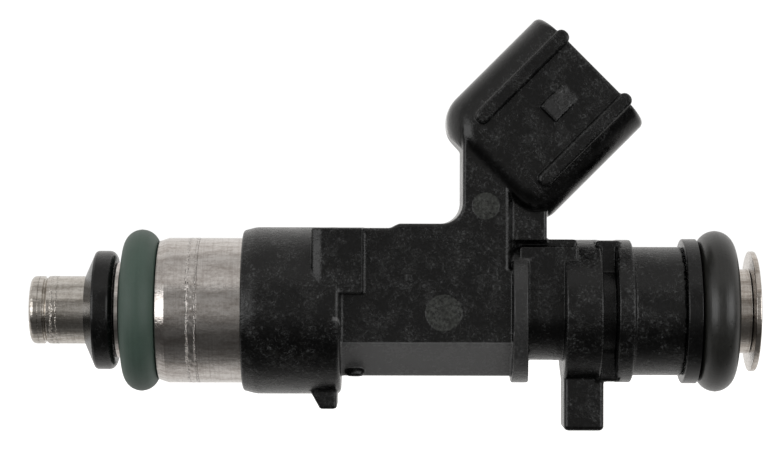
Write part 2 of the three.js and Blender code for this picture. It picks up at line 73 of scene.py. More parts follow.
def rounded_path(corners, steps=5, support=0.03):
    """(x, radius) points along corners given as (x, radius, rounding), with each rounded corner
    drawn as an arc that has a close point before and after it."""
    points = []
    count = len(corners)
    for i, (x, r, rounding) in enumerate(corners):
        here = Vector((x, r))
        if not rounding:
            points.append(here)
            continue
        before = (Vector(corners[i - 1][:2]) - here).normalized()
        after = (Vector(corners[(i + 1) % count][:2]) - here).normalized()
        half_angle = before.angle(after) / 2
        reach = rounding / math.tan(half_angle)
        centre = here + (before + after).normalized() * rounding / math.sin(half_angle)
        start, end = here + before * reach, here + after * reach
        sweep = (start - centre).angle_signed(end - centre)
        points.append(start + before * support)
        for step in range(steps + 1):
            angle = -sweep * step / steps
            c, s = math.cos(angle), math.sin(angle)
            arm = start - centre
            points.append(centre + Vector((c * arm.x - s * arm.y, s * arm.x + c * arm.y)))
        points.append(end + after * support)
    return points


def turned(name, corners, replaced, material, sides=160, relief=None):
    """A piece turned about the X axis, from a closed profile of (x, radius, rounding) corners.
    relief gives a small change of radius for arrays of x, radius and angle."""
    profile = np.array([tuple(p) for p in rounded_path(corners)])
    x, r = profile[:, 0], profile[:, 1]
    angles = np.linspace(0, 2 * math.pi, sides, endpoint=False)
    grid_x = np.repeat(x[:, None], sides, 1)
    grid_r = np.repeat(r[:, None], sides, 1)
    grid_a = np.repeat(angles[None, :], len(x), 0)
    if relief is not None:
        grid_r = grid_r + relief(grid_x, grid_r, grid_a)
    points = np.stack([grid_x, grid_r * np.sin(grid_a), grid_r * np.cos(grid_a)], -1)
    rings = len(x)
    i = np.arange(rings)[:, None]
    j = np.arange(sides)[None, :]
    a = i * sides + j
    b = i * sides + (j + 1) % sides
    c = ((i + 1) % rings) * sides + (j + 1) % sides
    d = ((i + 1) % rings) * sides + j
    faces = np.stack([a, b, c, d], -1).reshape(-1, 4)
    area = 0.5 * np.sum(x * np.roll(r, -1) - np.roll(x, -1) * r)
    if area > 0:
        faces = faces[:, ::-1]
    return add_piece(name, points.reshape(-1, 3), faces, replaced, material)


# ---- Solids as distance fields ------------------------------------------------------------
# A field gives the distance from the surface of a solid: negative inside it, in millimetres.


def meet(a, b, radius):
    """Where two solids overlap, with its edge rounded."""
    edge = np.hypot(np.maximum(a + radius, 0), np.maximum(b + radius, 0))
    return np.minimum(np.maximum(a, b), -radius) + edge


def join(a, b, radius):
    """Two solids together, with a fillet where they meet."""
    fillet = np.hypot(np.maximum(radius - a, 0), np.maximum(radius - b, 0))
    return np.maximum(np.minimum(a, b), radius) - fillet


def cut(a, b, radius):
    """The first solid without the second, with its new edge rounded."""
    return meet(a, -b, radius)


def span(value, low, high):
    """The slab between two values."""
    return np.maximum(low - value, value - high)


def ease(value, low, high):
    """A smooth rise from 0 at the low value to 1 at the high one."""
    t = np.clip((value - low) / (high - low), 0, 1)
    return t * t * (3 - 2 * t)


def surface(field, low, high, pitch, block_cells=8, batch=400000, unknown=1e3):
    """Points, quads and normals of the surface where a field is zero, by surface nets. The field
    is only worked out in the blocks of cells that the surface may pass through."""
    low, high = np.array(low, float), np.array(high, float)
    blocks = np.ceil((high - low) / (pitch * block_cells)).astype(int)
    size = blocks * block_cells + 1
    at = np.stack(
        np.meshgrid(*[np.arange(n) for n in blocks], indexing="ij"), -1
    ).reshape(-1, 3)
    width = pitch * block_cells
    reach = 1.25 * (width * math.sqrt(3) / 2 + pitch)
    near = at[np.abs(field(low + (at + 0.5) * width)) < reach]
    known = np.zeros(size, bool)
    for i, j, k in near * block_cells:
        known[i : i + block_cells + 1, j : j + block_cells + 1, k : k + block_cells + 1] = True
    index = np.argwhere(known)
    value = np.full(size, unknown)
    for part in np.array_split(index, max(1, len(index) // batch)):
        value[tuple(part.T)] = field(low + part * pitch)
    corners = [(i, j, k) for i in (0, 1) for j in (0, 1) for k in (0, 1)]

    def corner(array, i, j, k):
        return array[i : size[0] - 1 + i, j : size[1] - 1 + j, k : size[2] - 1 + k]

    inside = value < 0
    count = sum(corner(inside, *c).astype(np.int8) for c in corners)
    whole = np.logical_and.reduce([corner(known, *c) for c in corners])
    cells = np.argwhere((count > 0) & (count < 8) & whole)
    values = np.stack([value[tuple((cells + c).T)] for c in corners], -1)
    total, crossings = np.zeros((len(cells), 3)), np.zeros((len(cells), 1))
    for a, ca in enumerate(corners):
        for b, cb in enumerate(corners):
            if b <= a or sum(abs(p - q) for p, q in zip(ca, cb)) != 1:
                continue
            va, vb = values[:, a], values[:, b]
            crosses = (va < 0) != (vb < 0)
            t = np.where(crosses, va / np.where(crosses, va - vb, 1), 0)[:, None]
            place = np.array(ca) + t * (np.array(cb) - np.array(ca))
            total += np.where(crosses[:, None], place, 0)
            crossings += crosses[:, None]
    points = low + (cells + total / crossings) * pitch

    def slope(p, step=0.01):
        steps = np.eye(3) * step
        return np.stack([(field(p + s) - field(p - s)) / (2 * step) for s in steps], -1)

    for _ in range(3):
        g = slope(points)
        move = field(points)[:, None] * g / np.maximum((g * g).sum(1, keepdims=True), 0.25)
        points -= np.clip(move, -pitch / 2, pitch / 2)
    normals = slope(points, 0.03)
    normals /= np.maximum(np.linalg.norm(normals, axis=1, keepdims=True), 1e-9)
    number = np.full(size - 1, -1)
    number[tuple(cells.T)] = np.arange(len(cells))
    quads = []
    for axis in range(3):
        u, v = (axis + 1) % 3, (axis + 2) % 3
        step = np.eye(3, dtype=int)
        first = np.moveaxis(inside, axis, 0)
        change = np.argwhere(first[1:] != first[:-1])
        place = np.empty_like(change)
        place[:, axis] = change[:, 0]
        others = [k for k in range(3) if k != axis]
        place[:, others[0]], place[:, others[1]] = change[:, 1], change[:, 2]
        ok = (place[:, u] > 0) & (place[:, v] > 0) & (place < size - 1).all(1)
        place = place[ok]
        ring = [place - step[u] - step[v], place - step[v], place, place - step[u]]
        quad = np.stack([number[tuple(c.T)] for c in ring], -1)
        starts_inside = inside[tuple(place.T)]
        quad[~starts_inside] = quad[~starts_inside][:, ::-1]
        quads.append(quad[(quad >= 0).all(1)])
    return points, np.concatenate(quads), normals


# ---- Plastic overmould --------------------------------------------------------------------
# The plug shroud leans at 45 degrees between +X and +Z. For it, along is measured up its axis
# and across from its axis towards the inlet. The front, which the latch is on, is -Y. The sizes
# are in the model's axes: a start and an end are along X, a bottom and a top along Z, and a depth
# along Y.

SHROUD = Sizes(back=30.7, mouth=44.1, axis=13.31, half_width=6.75, half_depth=5.6, corner=3.6)
SHROUD_ROOT = 1.8  # how far the plate and the neck run into the shroud
GUIDE_RIB = Sizes(start=33.4, end=44.5, outer=6.35, root=4.9, end_radius=0.6, edge_radius=0.26)
GUIDE_RIB_SIDES = ((3.28, 4.57), (-4.62, -3.28))
LATCH = Sizes(half_width=1, height=0.85, ramp=2.95, length=5.9, root=5.0)
SOCKET = Sizes(half_width=5.5, half_depth=4.35, corner=2.35, floor=35, floor_radius=0.3)

PLATE = Sizes(start=17, end=34, half_depth=5.2, bottom=-5.8, edge=0.35, wall_edge=0.24)
PLATE_TOP = Sizes(low=7.5, rise=0.4, rise_from=22.5, rise_length=0.8)
PLATE_STEP = Sizes(x=32.98, lean=0.5, ledge=3.8)
FACET_REACH = 8  # on the facets, depth less height is this
NECK = Sizes(plate_start=28.95, start=32, end=36.5, half_depth=4.3, bottom=6.4, root_radius=1.85)

COLLAR = Sizes(start=9.24, end=18.1, radius=7.55, nose_radius=7.24, flare=0.256, end_radius=0.5)
PAD = Sizes(start=15.55, end=20.1, bottom=1.75, top=7.5, half_depth=7.1)
PAD_BEVEL = Sizes(end=16.4, slope=math.radians(22))
COLLAR_TAB = Sizes(end=17.76, bottom=-8.77, top=-6, half_depth=2.7)
COLLAR_TAB_SLANT = Sizes(start=15.4, end=16.26, top=-7.24)
GATE_BOSS = Sizes(x=19.4, y=-2.75, radius=0.85, bottom=-5.8, top=-5.12, edge=0.3)

STOP_RING = Sizes(start=33.45, end=35.05, taper=0.045, radius=6.5)
WAIST = Sizes(start=34.0, end=39.3, radius=4.45, top=5.85, rib_half_depth=3, rib_top=6.49)
CLIP_RING = Sizes(start=38.12, end=41.45, flange_start=42.76, flange_end=44.3, radius=6.46)
CLIP_CORE = Sizes(start=37.4, end=43.3, radius=4.45)
CLIP_BRIDGE = Sizes(start=41, end=43.2, half_depth=2.6, bottom=-6.28, top=6.4)
CLIP_TAB = Sizes(start=38.17, end=41.76, half_depth=2.4, bottom=-10.72, top=-3.4, edge=0.42)
BARREL = Sizes(start=43.8, end=48.84, radius=5.82)

HOUSING_BORE = Sizes(radius=6.62, end=17.2)
TUBE_BORE_RADIUS = 3.9


def connector(y, along, across):
    """The plug shroud, with its guide ribs and its wedge-shaped latch on the front. Its back and
    its mouth are rounder at the corners, and the back most at the corner away from the inlet."""
    back_radius = 1.7 + 0.3 * ease(across, 2.5, 6) + 1.2 * ease(-across, 2.5, 6)
    mouth_radius = 0.25 + 0.35 * ease(np.abs(across), 4.9, 6.2)
    shell = meet(np.abs(across) - SHROUD.half_width, np.abs(y) - SHROUD.half_depth, SHROUD.corner)
    shell = meet(shell, SHROUD.back - along, back_radius)
    shell = meet(shell, along - SHROUD.mouth, mouth_radius)
    rib_depth = span(y, -GUIDE_RIB.outer, -GUIDE_RIB.root)
    for low, high in GUIDE_RIB_SIDES:
        rib_length = span(along, GUIDE_RIB.start, GUIDE_RIB.end)
        outline = meet(rib_length, span(across, low, high), GUIDE_RIB.end_radius)
        shell = join(shell, meet(outline, rib_depth, GUIDE_RIB.edge_radius), 0.08)
    ramp_end = SHROUD.mouth - LATCH.ramp
    ramp = (-y - SHROUD.half_depth) - LATCH.height * (ramp_end - along) / LATCH.ramp
    latch_length = np.maximum(ramp, SHROUD.mouth - LATCH.length - along)
    latch = meet(span(across, -LATCH.half_width, LATCH.half_width), latch_length, 0.06)
    return join(shell, np.maximum(latch, y + LATCH.root), 0.05)


def socket(y, along, across):
    """The hollow that the plug goes into."""
    hole = meet(np.abs(across) - SOCKET.half_width, np.abs(y) - SOCKET.half_depth, SOCKET.corner)
    return meet(hole, SOCKET.floor - along, SOCKET.floor_radius)


def plate(x, y, z, under_shroud):
    """The flat middle of the body, which runs into the stop ring below a small ledge."""
    depth = np.abs(y)
    rise = np.clip((x - PLATE_TOP.rise_from) / PLATE_TOP.rise_length, 0, 1)
    top = PLATE_TOP.low + PLATE_TOP.rise * rise
    side = join(z - top, NECK.plate_start - x, NECK.root_radius)
    lean = PLATE_STEP.lean
    step = (x - PLATE_STEP.x - lean * (PLATE.half_depth - depth)) / math.hypot(1, lean)
    wall = np.maximum(x - PLATE.end, join(step, z - PLATE_STEP.ledge, 0.1))
    shape = meet(side, depth - PLATE.half_depth, PLATE.edge)
    shape = meet(shape, np.maximum(wall, under_shroud), PLATE.wall_edge)
    shape = meet(shape, (depth - FACET_REACH - z) * HALF_ROOT, 0.06)
    return meet(shape, np.maximum(PLATE.bottom - z, PLATE.start - x), 0.12)


def neck(x, y, z, under_shroud):
    """The thinner part of the neck, on the inlet's side of the plate."""
    shape = meet(np.abs(y) - NECK.half_depth, x - NECK.end, 0.35)
    shape = meet(shape, NECK.bottom - z, 0.1)
    return np.maximum(shape, np.maximum(under_shroud, NECK.start - x))


def lower_end(x, y, z, radius):
    """The collar over the steel housing, with its two flat pads and its tab."""
    depth = np.abs(y)
    rise = radius - COLLAR.nose_radius - (x - COLLAR.start) * COLLAR.flare
    cone = rise / math.hypot(1, COLLAR.flare)
    collar = meet(radius - COLLAR.radius, cone, 0.06)
    collar = meet(collar, COLLAR.start - x, 0.22)
    collar = meet(collar, x - COLLAR.end, COLLAR.end_radius)
    slope = PAD_BEVEL.slope
    bevel = (PAD_BEVEL.end - x) * math.sin(slope) + (depth - PAD.half_depth) * math.cos(slope)
    pad = meet(np.maximum(depth - PAD.half_depth, bevel), PAD.start - x, 0.25)
    pad = meet(pad, x - PAD.end, 0.1)
    pad = meet(pad, span(z, PAD.bottom, PAD.top), 0.1)
    run = COLLAR_TAB_SLANT.end - COLLAR_TAB_SLANT.start
    fall = COLLAR_TAB_SLANT.top - COLLAR_TAB.bottom
    slant = (COLLAR_TAB_SLANT.start - x) * fall + (COLLAR_TAB_SLANT.top - z) * run
    slant = slant / math.hypot(run, fall)
    tab = meet(depth - COLLAR_TAB.half_depth, np.maximum(slant, COLLAR_TAB.bottom - z), 0.22)
    tab = meet(tab, x - COLLAR_TAB.end, 0.3)
    tab = np.maximum(tab, z - COLLAR_TAB.top)
    return join(join(collar, pad, 0.06), tab, 0.12)


def upper_end(x, y, z, radius):
    """The stop ring, the waist, and the rings and tab that hold the retaining clip."""
    depth = np.abs(y)
    stop_end = x - STOP_RING.end + STOP_RING.taper * depth
    stop = meet(radius - STOP_RING.radius, np.maximum(STOP_RING.start - x, stop_end), 0.16)
    bar = meet(np.where(z < 0, radius, depth) - WAIST.radius, z - WAIST.top, 0.1)
    rib = meet(depth - WAIST.rib_half_depth, np.maximum(z - WAIST.rib_top, -z), 0.3)
    waist = meet(np.minimum(bar, rib), span(x, WAIST.start, WAIST.end), 0.25)
    ring_face = radius - CLIP_RING.radius
    clip_ring = meet(ring_face, span(x, CLIP_RING.start, CLIP_RING.end), 0.2)
    flange = meet(span(x, CLIP_RING.flange_start, CLIP_RING.flange_end), ring_face, 0.22)
    core = np.maximum(radius - CLIP_CORE.radius, span(x, CLIP_CORE.start, CLIP_CORE.end))
    bridge = meet(depth - CLIP_BRIDGE.half_depth, span(z, CLIP_BRIDGE.bottom, CLIP_BRIDGE.top), 0.3)
    bridge = np.maximum(bridge, span(x, CLIP_BRIDGE.start, CLIP_BRIDGE.end))
    barrel = meet(radius - BARREL.radius, span(x, BARREL.start, BARREL.end), 0.12)
    edge = CLIP_TAB.edge
    tab = meet(span(x, CLIP_TAB.start, CLIP_TAB.end), span(z, CLIP_TAB.bottom, CLIP_TAB.top), edge)
    tab = meet(tab, depth - CLIP_TAB.half_depth, edge)
    shape = join(join(stop, waist, 0.08), join(clip_ring, core, 0.12), 0.08)
    shape = join(shape, join(flange, bridge, 0.1), 0.1)
    return join(join(shape, barrel, 0.15), tab, 0.05)


def overmould(p):
    """The whole moulding, at an array of points."""
    x, y, z = p[:, 0], p[:, 1], p[:, 2]
    radius = np.hypot(y, z)
    along = (x + z) * HALF_ROOT
    across = (x - z) * HALF_ROOT - SHROUD.axis
    under_shroud = along - SHROUD.back - SHROUD_ROOT
    shape = join(upper_end(x, y, z, radius), neck(x, y, z, under_shroud), 0.4)
    shape = join(shape, plate(x, y, z, under_shroud), 0.1)
    shape = join(shape, lower_end(x, y, z, radius), 0.12)
    shape = join(shape, connector(y, along, across), 0.16)
    boss = np.hypot(x - GATE_BOSS.x, y - GATE_BOSS.y) - GATE_BOSS.radius
    boss = meet(boss, span(z, GATE_BOSS.bottom, GATE_BOSS.top), GATE_BOSS.edge)
    shape = join(shape, boss, 0.05)
    shape = cut(shape, np.maximum(radius - HOUSING_BORE.radius, x - HOUSING_BORE.end), 0.05)
    shape = cut(shape, radius - TUBE_BORE_RADIUS, 0.05)
    return cut(shape, socket(y, along, across), 0.2)


# ---- Materials ----------------------------------------------------------------------------


class Graph:
    """A procedural material, built node by node."""

    def __init__(self, name):
        self.material = bpy.data.materials.new(name)
        self.material.use_nodes = True
        self.tree = self.material.node_tree
        self.shader = self.tree.nodes["Principled BSDF"]
        place = self.node("ShaderNodeTexCoord").outputs["Object"]
        scaled = self.node("ShaderNodeVectorMath", {0: place, "Scale": 1 / MM}, operation="SCALE")
        self.mm = scaled.outputs[0]

    def node(self, kind, inputs=(), **settings):
        made = self.tree.nodes.new(kind)
        for key, value in settings.items():
            setattr(made, key, value)
        for key, value in dict(inputs).items():
            self.feed(made.inputs[key], value)
        return made

    def feed(self, socket_in, value):
        if isinstance(value, bpy.types.NodeSocket):
            self.tree.links.new(value, socket_in)
        else:
            socket_in.default_value = value

    def math(self, operation, *values):
        return self.node("ShaderNodeMath", enumerate(values), operation=operation).outputs[0]

    def length(self, a, b):
        """The length of a vector whose two parts are a and b."""
        return self.math("SQRT", self.math("MULTIPLY_ADD", a, a, self.math("MULTIPLY", b, b)))

    def noise(self, scale, detail=3.0, roughness=0.55, place=None, distortion=0.0):
        inputs = {
            "Vector": place or self.mm,
            "Scale": scale,
            "Detail": detail,
            "Roughness": roughness,
            "Distortion": distortion,
        }
        return self.node("ShaderNodeTexNoise", inputs).outputs["Fac"]

    def fit(self, value, low, high, out_low=0.0, out_high=1.0):
        inputs = {"Value": value, 1: low, 2: high, 3: out_low, 4: out_high}
        return self.node("ShaderNodeMapRange", inputs).outputs[0]

    def mix(self, factor, a, b):
        made = self.node("ShaderNodeMix", data_type="RGBA")
        self.feed(made.inputs[0], factor)
        self.feed(made.inputs[6], a if isinstance(a, bpy.types.NodeSocket) else (*a, 1))
        self.feed(made.inputs[7], b if isinstance(b, bpy.types.NodeSocket) else (*b, 1))
        return made.outputs[2]

    def parts(self):
        split = self.node("ShaderNodeSeparateXYZ", {0: self.mm})
        return split.outputs[0], split.outputs[1], split.outputs[2]

    def round_place(self, along, around):
        """A place on a turned part, with its own scale along the axis and round it."""
        x, y, z = self.parts()
        angle = self.math("ARCTAN2", y, z)
        s = self.math("MULTIPLY", self.math("SINE", angle), around)
        c = self.math("MULTIPLY", self.math("COSINE", angle), around)
        profile = self.math("MULTIPLY", self.math("ADD", x, self.length(y, z)), along)
        return self.node("ShaderNodeCombineXYZ", {0: profile, 1: s, 2: c}).outputs[0]

    def bump(self, height, distance):
        """A normal from a height, where a height of 1 is the distance in millimetres."""
        inputs = {"Height": height, "Distance": distance * MM, "Strength": 1.0}
        return self.node("ShaderNodeBump", inputs).outputs[0]

    def finish(self, **sockets):
        for key, value in sockets.items():
            self.feed(self.shader.inputs[key.replace("_", " ")], value)
        return self.material


PALE_FIBRE = (0.074, 0.0765, 0.0775)
PIN_MARK_COLOUR = (0.05, 0.053, 0.048)
# Paler colours painted on the lower facets and the stop ring's rim as sheen.
PAINTED_SHEEN_COLOURS = ((0.078, 0.078, 0.078), (0.122, 0.122, 0.122))
EJECTOR_PINS = ((27.3, 0.0, 1.62), (31.0, 9.5, 1.2))  # x, z and radius


def nylon(name, dark, light, flecks=1.0, rough=0.18, body=False):
    """Glass-filled nylon: a fine grain, dusty patches and pale flecks of fibre."""
    g = Graph(name)
    patches = g.noise(0.55, 5, 0.65)
    grain = g.noise(3.6, 4, 0.7)
    fibre = g.noise(4.4, 2, 0.6, distortion=1.2)
    patch = g.fit(patches, 0.44, 0.62)
    strength = g.math("MULTIPLY_ADD", patch, 0.85, 0.15)
    tone = g.math("MULTIPLY", g.fit(grain, 0.4, 0.64), strength)
    fleck = g.math("MULTIPLY", g.fit(fibre, 0.55, 0.66, 0, 0.75 * flecks), strength)
    if body:
        # Painted shade: tone and flecks are darkened on the shroud's rounded corners.
        grain_and_painted_shade = shaded_polished_corners(g)
        tone, fleck = g.math("MULTIPLY", tone, grain_and_painted_shade), g.math("MULTIPLY", fleck, grain_and_painted_shade)
    base = g.mix(fleck, g.mix(tone, dark, light), PALE_FIBRE)
    roughness = g.fit(g.math("ADD", grain, patches), 0.7, 1.3, rough, rough + 0.16)
    relief = g.math("MULTIPLY_ADD", fibre, 0.7, grain)
    height = g.math("MULTIPLY", relief, g.math("MULTIPLY_ADD", patch, 0.6, 0.6))
    if body:
        pins, edges = ejector_marks(g)
        worn = g.math("MULTIPLY", pins, g.fit(grain, 0.35, 0.65, 0.1, 1))
        base = g.mix(worn, base, PIN_MARK_COLOUR)
        # Painted sheen: the lower facets and the stop ring's rim get a paler colour for the light
        # they reflect.
        base = g.mix(painted_sheen_faces(g), base, g.mix(grain, *PAINTED_SHEEN_COLOURS))
        roughness = g.math("MULTIPLY", roughness, g.fit(grain_and_painted_shade, 0, 1, 0.5, 1))
        height = g.math("MULTIPLY_ADD", height, g.fit(grain_and_painted_shade, 0, 1, 0.3, 1), edges)
    normal = g.bump(height, 0.034 * flecks)
    return g.finish(Base_Color=base, Roughness=roughness, Normal=normal, Specular_IOR_Level=0.36)


def ejector_marks(g):
    """Two round, duller marks on each side, left by ejector pins: where they are, and a height."""
    x, y, z = g.parts()
    inside, height = 0.0, 0.0
    for pin_x, pin_z, radius in EJECTOR_PINS:
        reach = g.length(g.math("SUBTRACT", x, pin_x), g.math("SUBTRACT", z, pin_z))
        disc = g.fit(reach, radius - 0.06, radius + 0.06, 1, 0)
        inside = g.math("ADD", disc, inside)
        height = g.math("MULTIPLY_ADD", disc, -0.8, height)
    on_side = g.fit(g.math("ABSOLUTE", y), NECK.half_depth - 0.2, NECK.half_depth - 0.05)
    return g.math("MULTIPLY", inside, on_side), height


def shaded_polished_corners(g):
    """How much grain there is: all of it, but little on the rounded corners of the shroud. There the
    factor also darkens the colour as painted shade, and lowers the roughness as polish.
    """
    x, y, z = g.parts()
    along = g.math("MULTIPLY", g.math("ADD", x, z), HALF_ROOT)
    across = g.math("MULTIPLY_ADD", g.math("SUBTRACT", x, z), HALF_ROOT, -SHROUD.axis)
    across = g.math("ABSOLUTE", across)
    past_back = g.fit(along, SHROUD.back + 0.05, SHROUD.back + 0.3)
    within = g.fit(across, SHROUD.half_width + 0.1, SHROUD.half_width + 0.25, 1, 0)
    corner = g.math("MAXIMUM", g.fit(across, 4.65, 5.4), g.fit(along, 31.9, 33.6, 1, 0))
    corner = g.math("MULTIPLY", g.math("MULTIPLY", past_back, within), corner)
    return g.fit(corner, 0, 1, 1, 0.2)


def painted_sheen_faces(g):
    """The facets along the body's lower edges, and less so the stop ring's rim, are smoother than
    the rest of the body, and are painted paler: a painted sheen for the light they reflect."""
    x, y, z = g.parts()
    off_plane = g.math("SUBTRACT", g.math("SUBTRACT", g.math("ABSOLUTE", y), z), FACET_REACH)
    on_plane = g.fit(g.math("ABSOLUTE", off_plane), 0.1, 0.2, 1, 0)
    start, end = PLATE.start + 0.4, STOP_RING.start + 0.05
    along = g.math("MULTIPLY", g.fit(x, start, start + 0.1), g.fit(x, end, end + 0.1, 1, 0))
    start, end = STOP_RING.start - 0.05, STOP_RING.end + 0.05
    rim = g.math("MULTIPLY", g.fit(x, start, start + 0.04), g.fit(x, end, end + 0.05, 1, 0))
    radius, edge = g.length(y, z), STOP_RING.radius
    outer = g.fit(radius, edge - 0.15, edge - 0.08)
    outer = g.math("MULTIPLY", outer, g.fit(radius, edge + 0.05, edge + 0.12, 0.27, 0))
    return g.math("MAXIMUM", g.math("MULTIPLY", on_plane, along), g.math("MULTIPLY", rim, outer))


def turned_steel(name, colour, shade, rough=0.07, weld=None, ripple=0.0):
    """Turned steel: fine marks round its axis, dull spots and streaks, and the rough edges of a
    welded band from one x to another."""
    g = Graph(name)
    marks = g.noise(1.0, 3, 0.6, place=g.round_place(6.0, 1.0))
    spots = g.noise(3.4, 4, 0.75)
    streaks = g.noise(1.0, 4, 0.65, place=g.round_place(0.3, 9.0))
    tone = g.math("MULTIPLY_ADD", spots, 0.4, g.math("MULTIPLY", streaks, 0.6))
    base = g.mix(g.fit(tone, 0.42, 0.64, 0, 0.85), colour, shade)
    base = g.mix(g.fit(marks, 0.5, 0.75, 0, 0.4), base, shade)
    roughness = g.fit(g.math("ADD", marks, spots), 0.7, 1.3, rough, rough + 0.1)
    height = g.math("MULTIPLY_ADD", marks, 0.35, g.math("MULTIPLY", spots, 0.6))
    height = g.math("MULTIPLY_ADD", streaks, 0.7, height)
    if weld is not None:
        wander = g.math("MULTIPLY_ADD", g.noise(2.2, 2, 0.6), 0.3, -0.15)
        place = g.math("ADD", g.parts()[0], wander)
        edges = 0.0
        for edge, width in zip(weld, (0.13, 0.07)):
            off = g.math("ABSOLUTE", g.math("SUBTRACT", place, edge))
            edges = g.math("ADD", g.fit(off, width * 0.5, width, 1, 0), edges)
        beads = g.math("MULTIPLY", g.noise(5.0, 2, 0.6, distortion=1.0), edges)
        height = g.math("MULTIPLY_ADD", beads, ripple, height)
    normal = g.bump(height, 0.03)
    return g.finish(Base_Color=base, Metallic=1.0, Roughness=roughness, Normal=normal)


def rubber(name, dark, light, rough):
    """Moulded rubber: an even matt skin with faint marks round the ring."""
    g = Graph(name)
    skin = g.noise(4.0, 4, 0.6)
    marks = g.noise(1.0, 2, 0.5, place=g.round_place(3.5, 0.8))
    cloud = g.noise(0.6, 3, 0.6)
    tone = g.math("MULTIPLY_ADD", marks, 0.35, g.math("MULTIPLY", cloud, 0.3))
    tone = g.math("MULTIPLY_ADD", skin, 0.35, tone)
    base = g.mix(g.fit(tone, 0.36, 0.64), dark, light)
    roughness = g.fit(skin, 0.3, 0.7, rough, rough + 0.12)
    normal = g.bump(g.math("ADD", skin, marks), 0.012)
    return g.finish(Base_Color=base, Roughness=roughness, Normal=normal)


def plain_metal(name, colour, shade, rough):
    """Metal of the inner parts, with fine marks round the axis."""
    g = Graph(name)
    marks = g.noise(1.0, 3, 0.6, place=g.round_place(7.0, 1.5))
    spots = g.noise(2.5, 4, 0.6)
    base = g.mix(g.fit(g.math("ADD", marks, spots), 0.8, 1.3), colour, shade)
    roughness = g.fit(spots, 0.3, 0.7, rough, rough + 0.12)
    normal = g.bump(marks, 0.01)
    return g.finish(Base_Color=base, Metallic=1.0, Roughness=roughness, Normal=normal)


WIRE_PITCH = 0.22
SCREEN_PITCH, SCREEN_WIRES_ROUND = 0.26, 52


def winding(name):
    """Enamelled wire, wound close: fine ridges round the axis, with painted shade in the grooves
    between the turns.
    """
    g = Graph(name)
    x = g.parts()[0]
    ridges = g.math("ABSOLUTE", g.math("SINE", g.math("MULTIPLY", x, math.pi / WIRE_PITCH)))
    cloud = g.noise(1.2, 3, 0.6)
    base = g.mix(g.fit(cloud, 0.3, 0.7), (0.38, 0.12, 0.04), (0.6, 0.25, 0.1))
    # Painted shade: darker in the grooves between the turns.
    base = g.mix(g.fit(ridges, 0.0, 0.5, 0.7, 0), base, (0.08, 0.02, 0.01))
    roughness = g.fit(cloud, 0.3, 0.7, 0.25, 0.4)
    return g.finish(Base_Color=base, Metallic=0.9, Roughness=roughness, Normal=g.bump(ridges, 0.1))


def woven(name):
    """Fine wire mesh, as a weave of two crossing ridges, with the openings between the wires painted
    near black as shade.
    """
    g = Graph(name)
    x, y, z = g.parts()
    warp = g.math("SINE", g.math("MULTIPLY", g.math("ARCTAN2", y, z), SCREEN_WIRES_ROUND / 2))
    weft = g.math("SINE", g.math("MULTIPLY", x, math.pi / SCREEN_PITCH))
    weave = g.math("MAXIMUM", g.math("ABSOLUTE", warp), g.math("ABSOLUTE", weft))
    wear = g.noise(1.5, 3, 0.6)
    # Painted shade: the openings between the wires are near black.
    base = g.mix(g.fit(weave, 0.55, 0.95), (0.02, 0.02, 0.02), (0.5, 0.49, 0.47))
    base = g.mix(g.fit(wear, 0.45, 0.75, 0, 0.5), base, (0.2, 0.17, 0.12))
    roughness = g.fit(wear, 0.3, 0.7, 0.3, 0.45)
    normal = g.bump(weave, 0.05)
    return g.finish(Base_Color=base, Metallic=1.0, Roughness=roughness, Normal=normal)


BLACK_NYLON = nylon("black_nylon", (0.0003, 0.0003, 0.0003), (0.0085, 0.0085, 0.0079), body=True)
RING_NYLON = nylon("ring_nylon", (0.0008, 0.0008, 0.0008), (0.006, 0.006, 0.006), 0.4, 0.16)
NATURAL_NYLON = nylon("bobbin_nylon", (0.5, 0.45, 0.34), (0.66, 0.61, 0.49), 0.2)
STEEL = turned_steel(
    "stainless", (0.62, 0.59, 0.565), (0.3, 0.265, 0.24), weld=(4.5, 5.2), ripple=4.0
)
TIP_STEEL = turned_steel(
    "tip_stainless", (0.62, 0.59, 0.55), (0.29, 0.26, 0.225), weld=(-7.95, -7.5), ripple=3.0
)
INLET_STEEL = turned_steel("inlet_stainless", (0.6, 0.56, 0.52), (0.27, 0.225, 0.185), rough=0.06)
GREEN_RUBBER = rubber("green_rubber", (0.038, 0.066, 0.051), (0.056, 0.09, 0.072), 0.5)
BLACK_RUBBER = rubber("black_rubber", (0.009, 0.009, 0.008), (0.02, 0.02, 0.018), 0.27)
MAGNETIC_STEEL = plain_metal("magnetic_steel", (0.45, 0.44, 0.42), (0.3, 0.29, 0.28), 0.3)
VALVE_STEEL = plain_metal("valve_steel", (0.66, 0.65, 0.63), (0.48, 0.47, 0.45), 0.18)
TIN = plain_metal("tinned_contact", (0.74, 0.73, 0.71), (0.55, 0.54, 0.52), 0.26)
BRASS = plain_metal("filter_brass", (0.66, 0.47, 0.19), (0.42, 0.29, 0.12), 0.28)
COPPER = winding("enamelled_copper")
SCREEN = woven("screen_mesh")


# ---- Pieces -------------------------------------------------------------------------------

MOULDING_LOW, MOULDING_HIGH = (8.5, -8, -11.6), (49.4, 8, 27.6)
MOULDING_CELL = 0.2
HOUSING = Sizes(start=-2.2, end=17, radius=6.57, bore=5.95, seat=4.05, lip=4.33, joint=5.36)
TIP = Sizes(start=-9.95, end=17, radius=3.07, bore=2.45, upper_radius=3.6, upper_bore=3.3)


def welded_band(x, r, angle):
    """The ripple that a weld leaves round the housing."""
    inside = ease(x, 4.4, 4.55) * (1 - ease(x, 5.12, 5.28)) * (r > HOUSING.bore)
    ripple = 0.012 * np.sin(46 * angle + 9 * x) + 0.008 * np.sin(31 * angle - 14 * x)
    return inside * ripple


